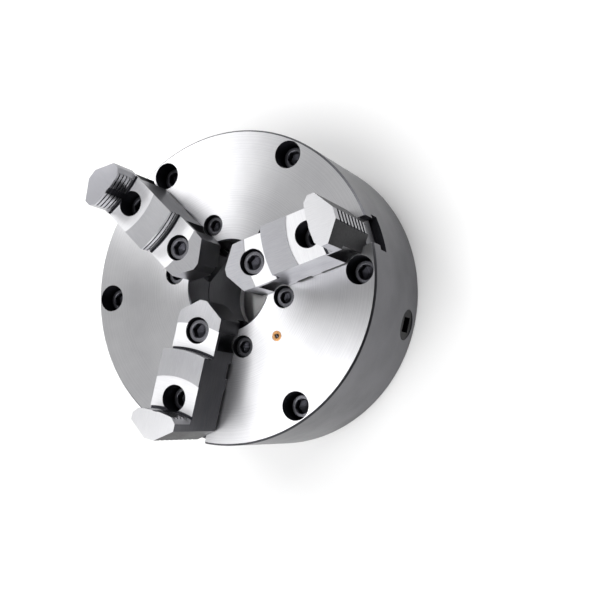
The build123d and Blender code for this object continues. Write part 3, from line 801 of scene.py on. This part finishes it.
    def painted_shade_tools(self) -> list[bpy.types.Object]:
        """Makes the cutters of the grooves along the grip faces, of the end rows and of the screw holes,
        whose faces take a painted shade.
        """
        tools = []
        wide, deep, tall_by = self.undercut
        groove, inset = self.groove
        steps = ((self.grip_b, self.first_step), (self.grip_tower, self.second_step))
        tops = (self.second_step, self.tower_top)
        for (face, level), top, rows in zip(steps, tops, self.groove_rows):
            floor = level - self.relief
            tools.append(self.ring_tool(face, wide, 0.0, floor - deep, floor + tall_by))
            for k in range(rows):
                low = level + (top - level) * (k + self.row_lead) / (rows + self.row_spare)
                tools.append(self.ring_tool(face, self.groove_lead, inset, low, low + groove))
        count, first, pitch = self.end_rows
        side, tall = self.end_groove
        end = self.jaw_end[0]
        for k in range(count):
            level = FACE + first + k * pitch
            out = end + 2 * OVERCUT
            tools.append(Bench.block((end - inset, -side, level - tall), (out, side, level + tall)))
        shank, head = self.screw_hole
        for place in self.screw_places:
            tools.append(Bench.drum(head, self.seat, self.tower_top + CLEAR, (place, 0), 72))
            tools.append(Bench.drum(shank, self.foot - OVERCUT, self.seat + OVERCUT, (place, 0), 48))
        return tools

    def base_tools(self) -> list[bpy.types.Object]:
        """Makes the cutters of the relief and the key slots under the jaw, and of the tower's corners."""
        start, lift = self.base_relief
        slot, cross, tall = self.key_slot
        under, roof, rail = self.foot - OVERCUT, self.foot + tall, self.base_rail
        side, far = self.beside, self.beyond
        tools = [
            Bench.block((start, rail, under), (far, side, self.foot + lift)),
            Bench.block((start, -side, under), (far, -rail, self.foot + lift)),
            Bench.block((0, -slot, under), (far, slot, roof)),
            Bench.block((self.key_centre - cross, -side, under), (self.key_centre + cross, side, roof)),
        ]
        return tools + [self.corner_tool(flip) for flip in (1, -1)]

    def notch_tools(self) -> list[bpy.types.Object]:
        """Makes the cutters of the notches that clear the heads of the hub and face screws."""
        reach, circle, heading = self.hub_notch
        low = self.foot - OVERCUT
        roof = self.first_step - self.notch_roof
        tools = [Bench.drum(reach, low, roof, polar(circle, flip * heading), 72) for flip in (1, -1)]
        reach, circle, heading = self.mount_notch
        tools.append(Bench.drum(reach, low, self.second_step - self.notch_roof, polar(circle, heading), 72))
        return tools

    def model(self) -> bpy.types.Object:
        """Machines the first jaw, on the x axis."""
        jaw = self.blank("top_jaw")
        self.dress_outline(jaw)
        steps = [
            self.step_tool(self.grip_b, self.first_step),
            self.step_tool(self.grip_tower, self.second_step),
        ]
        Bench.cut(jaw, steps, JAW_STEEL[0])
        milled = [
            self.relief_tool(self.land_a, self.grip_b, self.first_step),
            self.relief_tool(self.land_b, self.grip_tower, self.second_step),
        ]
        Bench.cut(jaw, milled, JAW_RELIEF_STEEL[0])
        # grooves, end rows and screw holes take the recesses' painted shade
        Bench.cut(jaw, self.painted_shade_tools(), RECESS_PAINTED_SHADE)
        Bench.cut(jaw, self.base_tools())
        # the notches take the near-black painted shade
        Bench.cut(jaw, self.notch_tools(), JAW_END_PAINTED_SHADE)
        Bench.soften(jaw, self.edge)
        return jaw

    def build(self) -> None:
        """Copies the jaw three times, each in its own grain direction and in its own tones, which paint the
        light and shade on it, and hangs the copies on the frame.
        """
        jaw = self.model()
        for index in range(JAW_COUNT):
            number = index + 1
            twin = Bench.turned(jaw, index * JAW_STEP, f"top_jaw_{number}_ground")
            # swaps in this jaw's own tones, which paint its light and shade
            for place, material in enumerate(jaw.data.materials):
                for family in (JAW_STEEL, JAW_TOP_STEEL, JAW_SIDE_STEEL, JAW_RELIEF_STEEL):
                    if material.name == family[0].title:
                        twin.data.materials[place] = family[index].build()
            hang(twin, f"jaw_{number}", [f"top_jaw_{number}"])
        bpy.data.meshes.remove(jaw.data)


@dataclass(frozen=True)
class ScrewSize:
    """Sizes of one socket cap screw."""

    shank: float
    head: float
    head_height: float
    key: float
    key_depth: float
    pitch: float


M12 = ScrewSize(5.9, 9.0, 12.0, 5.77, 6.0, 1.75)
M10 = ScrewSize(4.9, 8.0, 10.0, 4.62, 5.0, 1.5)


@dataclass
class CapScrew:
    """A socket cap screw with a knurled head, a hex socket and a rolled thread."""

    size: ScrewSize
    seat: float
    length: float
    chamfer: float = 1.1
    mouth: tuple[float, float, float] = (0.9, 1.2, 0.6)
    drill: tuple[float, float, float] = (0.1, 0.86, 1.5)
    knurls: int = 96
    knurl_depth: float = 0.32
    thread_share: float = 0.6
    longest_thread: float = 30.0
    thread_depth: float = 0.54
    skin: float = 0.05
    edge: float = 0.18
    sharp_from: float = 30.0

    def model(self) -> bpy.types.Object:
        """Makes one upright screw on the spindle axis."""
        size = self.size
        top = self.seat + size.head_height
        head = Bench.drum(size.head, self.seat, top, sides=self.knurls, name="screw")
        Bench.dress(head, BLACK_SCREW, SCREW_RIM_PAINTED_HIGHLIGHT)
        Bench.chamfer_ring(head, top, size.head, self.chamfer, 3)
        for face in head.data.polygons:
            # the head's chamfer ring takes the painted highlight
            face.material_index = 1 if 0.1 < face.normal.z < 0.95 else 0
        self.knurl(head)
        floor = top - size.key_depth
        socket = Bench.drum(size.key, floor, top + OVERCUT, sides=6)
        inward, outward, rise = self.mouth
        mouth = Bench.taper(size.key - inward, size.key + outward, top - inward, top + rise, sides=64)
        tip, share, point = self.drill
        pit = Bench.taper(tip, size.key * share, floor - point, floor + 0.01, sides=32)
        # socket, mouth and drill point take the recesses' painted shade
        Bench.cut(head, [socket, mouth, pit], RECESS_PAINTED_SHADE)
        Bench.soften(head, self.edge, self.sharp_from, 1)
        return Bench.join([head, self.shank()], "screw")

    def knurl(self, head: bpy.types.Object) -> None:
        """Presses a straight knurl into the side of the head."""
        Bench.open_up(head, "DESELECT", "VERT")
        bpy.ops.object.mode_set(mode="OBJECT")
        step = 2 * math.pi / self.knurls
        for corner in head.data.vertices:
            turn = round(math.atan2(corner.co.y, corner.co.x) / step)
            outside = corner.co.xy.length > (self.size.head - self.skin) * MM
            corner.select = outside and turn % 2 == 0
        bpy.ops.object.mode_set(mode="EDIT")
        shrink = (self.size.head - self.knurl_depth) / self.size.head
        bpy.ops.transform.resize(value=(shrink, shrink, 1), center_override=(0, 0, 0))
        bpy.ops.object.mode_set(mode="OBJECT")

    def shank(self) -> bpy.types.Object:
        """Makes the shank, plain under the head and threaded to its end."""
        size = self.size
        foot = self.seat - self.length
        threaded = min(self.length * self.thread_share, self.longest_thread)
        rod = Bench.drum(size.shank, foot, self.seat, sides=48)
        Bench.hold(rod)
        bpy.ops.object.mode_set(mode="EDIT")
        half_pitch = size.pitch / 2
        rings = int(threaded / half_pitch)
        for k in range(1, rings):
            bpy.ops.mesh.select_all(action="SELECT")
            bpy.ops.mesh.bisect(plane_co=(0, 0, (foot + k * half_pitch) * MM), plane_no=(0, 0, 1))
        bpy.ops.object.mode_set(mode="OBJECT")
        for corner in rod.data.vertices:
            k = (corner.co.z / MM - foot) / half_pitch
            if k < rings - 0.5 and round(k) % 2 == 0:
                corner.co.xy = corner.co.xy * (1 - self.thread_depth * size.pitch / size.shank)
        return rod


@dataclass
class ScrewSet:
    """The cap screws of the chuck: face screws, hub screws and jaw screws."""

    mount_length: float = 70.0
    mount_foot: float = 0.5
    hub_seat: float = FACE - 13.5
    hub_foot: float = 5.5
    jaw_seat: float = FACE + 14.0
    jaw_length: float = 30.0
    jaw_places: tuple[float, float] = (39.2, 92.0)
    mount_circle: tuple[float, float] = (112.0, -14.0)
    hub_circle: tuple[float, float] = (51.0, 30.0)
    count: int = 6
    turn: float = 17.0

    def ring(self, screw: bpy.types.Object, circle: tuple[float, float], name: str) -> bpy.types.Object:
        """Stands copies of a screw on a circle, each turned a little differently."""
        radius, start = circle
        copies = []
        for k in range(self.count):
            spun = Bench.turned(screw, self.turn * k)
            spun.location = [v * MM for v in (*polar(radius, start + 360 / self.count * k), 0)]
            copies.append(Bench.settle(spun))
        bpy.data.meshes.remove(screw.data)
        return Bench.join(copies, name)

    def build(self) -> None:
        """Makes all the screws and hangs them on the frame."""
        mount = CapScrew(M12, self.mount_foot + self.mount_length, self.mount_length).model()
        mounts = self.ring(mount, self.mount_circle, "mounting_screws_m12")
        hub = CapScrew(M10, self.hub_seat, self.hub_seat - self.hub_foot).model()
        hubs = self.ring(hub, self.hub_circle, "hub_screws_m10")
        for piece, node in ((mounts, "mounting_screws"), (hubs, "hub_screws")):
            hang(piece, "chuck_body", [node])
        jaw_screw = CapScrew(M12, self.jaw_seat, self.jaw_length).model()
        for number in range(1, JAW_COUNT + 1):
            pair = [Bench.shifted(jaw_screw, (place, 0, 0)) for place in self.jaw_places]
            both = Bench.join(pair, f"jaw_screws_{number}_m12")
            both.rotation_euler = (0, 0, math.radians((number - 1) * JAW_STEP))
            Bench.settle(both)
            hang(both, f"jaw_{number}", [f"jaw_screws_{number}"])
        bpy.data.meshes.remove(jaw_screw.data)


@dataclass
class CarriedPart:
    """A CAD node whose shape is right: a merged copy with its sharp edges broken."""

    node: str
    body: str
    slot: str
    finish: MetalFinish
    edge: float = 0.25
    weld: float = 1e-6
    flat_within: float = 0.5
    sharp_from: float = 38.0

    def build(self) -> None:
        """Copies the node, cleans the copy and breaks its edges."""
        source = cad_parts[self.node]
        piece = source.copy()
        piece.data = source.data.copy()
        piece.parent = None
        piece.name = f"{self.node}_finished"
        piece.data.name = piece.name
        for key in list(piece.keys()):
            del piece[key]
        bpy.context.scene.collection.objects.link(piece)
        Bench.open_up(piece)
        bpy.ops.mesh.remove_doubles(threshold=self.weld)
        bpy.ops.mesh.customdata_custom_splitnormals_clear()
        bpy.ops.mesh.select_all(action="SELECT")
        bpy.ops.mesh.dissolve_limited(angle_limit=math.radians(self.flat_within))
        bpy.ops.object.mode_set(mode="OBJECT")
        piece.data.materials.clear()
        Bench.dress(piece, self.finish)
        Bench.soften(piece, self.edge, self.sharp_from, 1)
        hang(piece, self.body, [self.node])


@dataclass
class BallOiler:
    """The brass oiler pressed into the face, with its ball and spring."""

    radius: float = 3.98
    lip: float = 1.7
    cavity: float = 2.3
    inlet: float = 1.0
    length: float = 9.0
    proud: float = 0.1
    rim: float = 0.35
    wall: float = 1.0
    lip_depth: float = 0.85
    mouth: tuple[float, float, float, float] = (0.2, 0.7, 0.5, 0.4)
    edge: float = 0.08
    place: tuple[float, float] = (60.5, -60.0)

    def build(self) -> None:
        """Turns the brass shell and dresses the ball and the spring."""
        at = polar(*self.place)
        top, foot = FACE + self.proud, FACE - self.length
        shell = Bench.drum(self.radius, foot, top, (0, 0), 64, "oiler_shell")
        Bench.chamfer_ring(shell, top, self.radius, self.rim, 2)
        Bench.dress(shell, OILER_BRASS)
        inward, outward, depth, rise = self.mouth
        tools = [
            Bench.drum(self.cavity, foot + self.wall, FACE - self.lip_depth, sides=48),
            Bench.drum(self.lip, foot + 2 * self.wall, FACE + OVERCUT, sides=48),
            Bench.taper(self.lip - inward, self.lip + outward, FACE - depth, FACE + rise, sides=48),
            Bench.drum(self.inlet, foot - OVERCUT, FACE, sides=32),
        ]
        Bench.cut(shell, tools)
        Bench.soften(shell, self.edge)
        shell.location = (at[0] * MM, at[1] * MM, 0)
        Bench.settle(shell)
        hang(shell, "chuck_body", ["oiler_body"])
        # the ball takes its painted shade
        for node, finish in (("oiler_ball", BALL_PAINTED_SHADE), ("oiler_spring", WIRE_STEEL)):
            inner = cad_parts[node]
            inner.data.materials.clear()
            Bench.dress(inner, finish)


# ---- studio ----


@dataclass(frozen=True)
class SoftBox:
    """One square soft box: its direction from the chuck in degrees, and its size in metres and watts."""

    name: str
    azimuth: float
    height: float
    distance: float
    size: float
    power: float

    def build(self) -> None:
        """Hangs the soft box, aimed at the chuck."""
        data = bpy.data.lights.new(self.name, "AREA")
        data.shape = "SQUARE"
        data.size = self.size
        data.energy = self.power
        level = self.distance * math.cos(math.radians(self.height))
        rise = self.distance * math.sin(math.radians(self.height))
        aim_lamp(data, Vector((*polar(level, self.azimuth), rise)))


@dataclass(frozen=True)
class BoreSpot:
    """A narrow soft spot, which reaches the paper down the bore."""

    name: str = "bore_spot"
    azimuth: float = 147.0
    beside: float = 0.14
    above: float = 1.6
    spread: float = 3.2
    softness: float = 0.6
    width: float = 0.04
    power: float = 52.0

    def build(self) -> None:
        """Hangs the spot, nearly overhead."""
        data = bpy.data.lights.new(self.name, "SPOT")
        data.spot_size = math.radians(self.spread)
        data.spot_blend = self.softness
        data.shadow_soft_size = self.width
        data.energy = self.power
        aim_lamp(data, Vector((*polar(self.beside, self.azimuth), self.above)))


def aim_lamp(data: bpy.types.Light, away: Vector) -> None:
    """Hangs a lamp, some metres away from the middle of the face, and aims it there."""
    lamp = bpy.data.objects.new(data.name, data)
    middle = Vector((0, 0, FACE * MM))
    lamp.location = middle + away
    lamp.rotation_euler = (middle - lamp.location).to_track_quat("-Z", "Y").to_euler()
    bpy.context.scene.collection.objects.link(lamp)


LIGHTS = (
    SoftBox("key_soft_box", -119, 59, 1.5, 1.45, 25),
    SoftBox("far_soft_box", 122, 34, 1.6, 0.8, 10),
    SoftBox("low_soft_box", 34, 30, 1.5, 0.9, 11),
    BoreSpot(),
)


@dataclass
class Studio:
    """White paper, the lights, the room and the camera, whose sizes are in millimetres and degrees."""

    floor_size: float = 6.0
    floor_gap: float = 0.0003
    lens: float = 55.08
    azimuth: float = -32.468
    elevation: float = 58.467
    distance: float = 723.83
    aim: tuple[float, float] = (56.44, -32.47)
    roll: float = -74.785
    sensor: float = 36.0
    dim_side: float = -30.0
    dim_height: float = 50.0
    room_stops: tuple[float, float] = (0.1, 0.9)
    room_tones: tuple[str, str] = ("FFFFFF", "404040")
    room_level: float = 0.7

    def floor(self) -> None:
        """Lays the paper under the chuck."""
        Bench.release()
        bpy.ops.mesh.primitive_plane_add(size=self.floor_size, location=(0, 0, -self.floor_gap))
        paper = bpy.context.object
        paper.name = "studio_paper"
        paper.data.materials.append(FloorFinish().build())

    def surroundings(self) -> None:
        """Grades the room from a dim side, over the camera, to a light one."""
        world = bpy.data.worlds.new("studio_surroundings")
        bpy.context.scene.world = world
        world.use_nodes = True
        tree = world.node_tree
        level = math.radians(self.dim_height)
        dim_way = (*polar(math.cos(level), self.dim_side), math.sin(level))
        way = add_node(tree, "TexCoord").outputs["Generated"]
        side = add_node(tree, "VectorMath", {"operation": "DOT_PRODUCT", 1: dim_way}, i0=way)
        tone = add_ramp(tree, side.outputs["Value"], self.room_stops, self.room_tones)
        tree.links.new(tone, tree.nodes["Background"].inputs["Color"])
        tree.nodes["Background"].inputs["Strength"].default_value = self.room_level

    def camera(self) -> None:
        """Sets the camera at its place over the face, rolled as the object is seen."""
        x, y = polar(self.distance * math.cos(math.radians(self.elevation)), self.azimuth)
        z = self.distance * math.sin(math.radians(self.elevation)) + FACE
        place = Vector((x, y, z)) * MM
        target = Vector((*self.aim, FACE)) * MM
        data = bpy.data.cameras.new("camera")
        data.lens = self.lens
        data.sensor_width = self.sensor
        camera = bpy.data.objects.new("camera", data)
        level = (target - place).to_track_quat("-Z", "Y")
        camera.matrix_world = Matrix.Translation(place) @ level.to_matrix().to_4x4() @ Matrix.Rotation(
            math.radians(self.roll), 4, "Z"
        )
        bpy.context.scene.collection.objects.link(camera)
        bpy.context.scene.camera = camera

    def build(self) -> None:
        """Sets up the paper, the lights, the surroundings and the camera."""
        self.floor()
        for light in LIGHTS:
            light.build()
            log.info("%s: hung", light.name)
        self.surroundings()
        self.camera()
        # plain display colours, so that white paper stays white
        bpy.context.scene.view_settings.view_transform = "Standard"


def main() -> None:
    """Builds the chuck piece by piece, then the studio."""
    logging.basicConfig(level=logging.INFO, format="%(name)s: %(message)s")
    Bench.release()
    ChuckBody().build()
    TopJaw().build()
    for number in range(1, JAW_COUNT + 1):
        # the master jaws take the slides' painted shade
        CarriedPart(f"master_jaw_{number}", f"jaw_{number}", "jaw_slide_steel", SLIDE_PAINTED_SHADE).build()
        # the pinions take their painted shade
        CarriedPart(f"pinion_{number}", f"key_pinion_{number}", "pinion_steel", PINION_PAINTED_SHADE).build()
    ScrewSet().build()
    CarriedPart("scroll_plate", "scroll", "scroll_steel", SCROLL_STEEL).build()
    CarriedPart("rear_cover", "chuck_body", "cover_steel", FACED_STEEL).build()
    CarriedPart("cover_dowels", "chuck_body", "pin_steel", WIRE_STEEL).build()
    CarriedPart("pinion_pins", "chuck_body", "pin_steel", WIRE_STEEL).build()
    BallOiler().build()
    Studio().build()


if __name__ == "__main__":
    main()
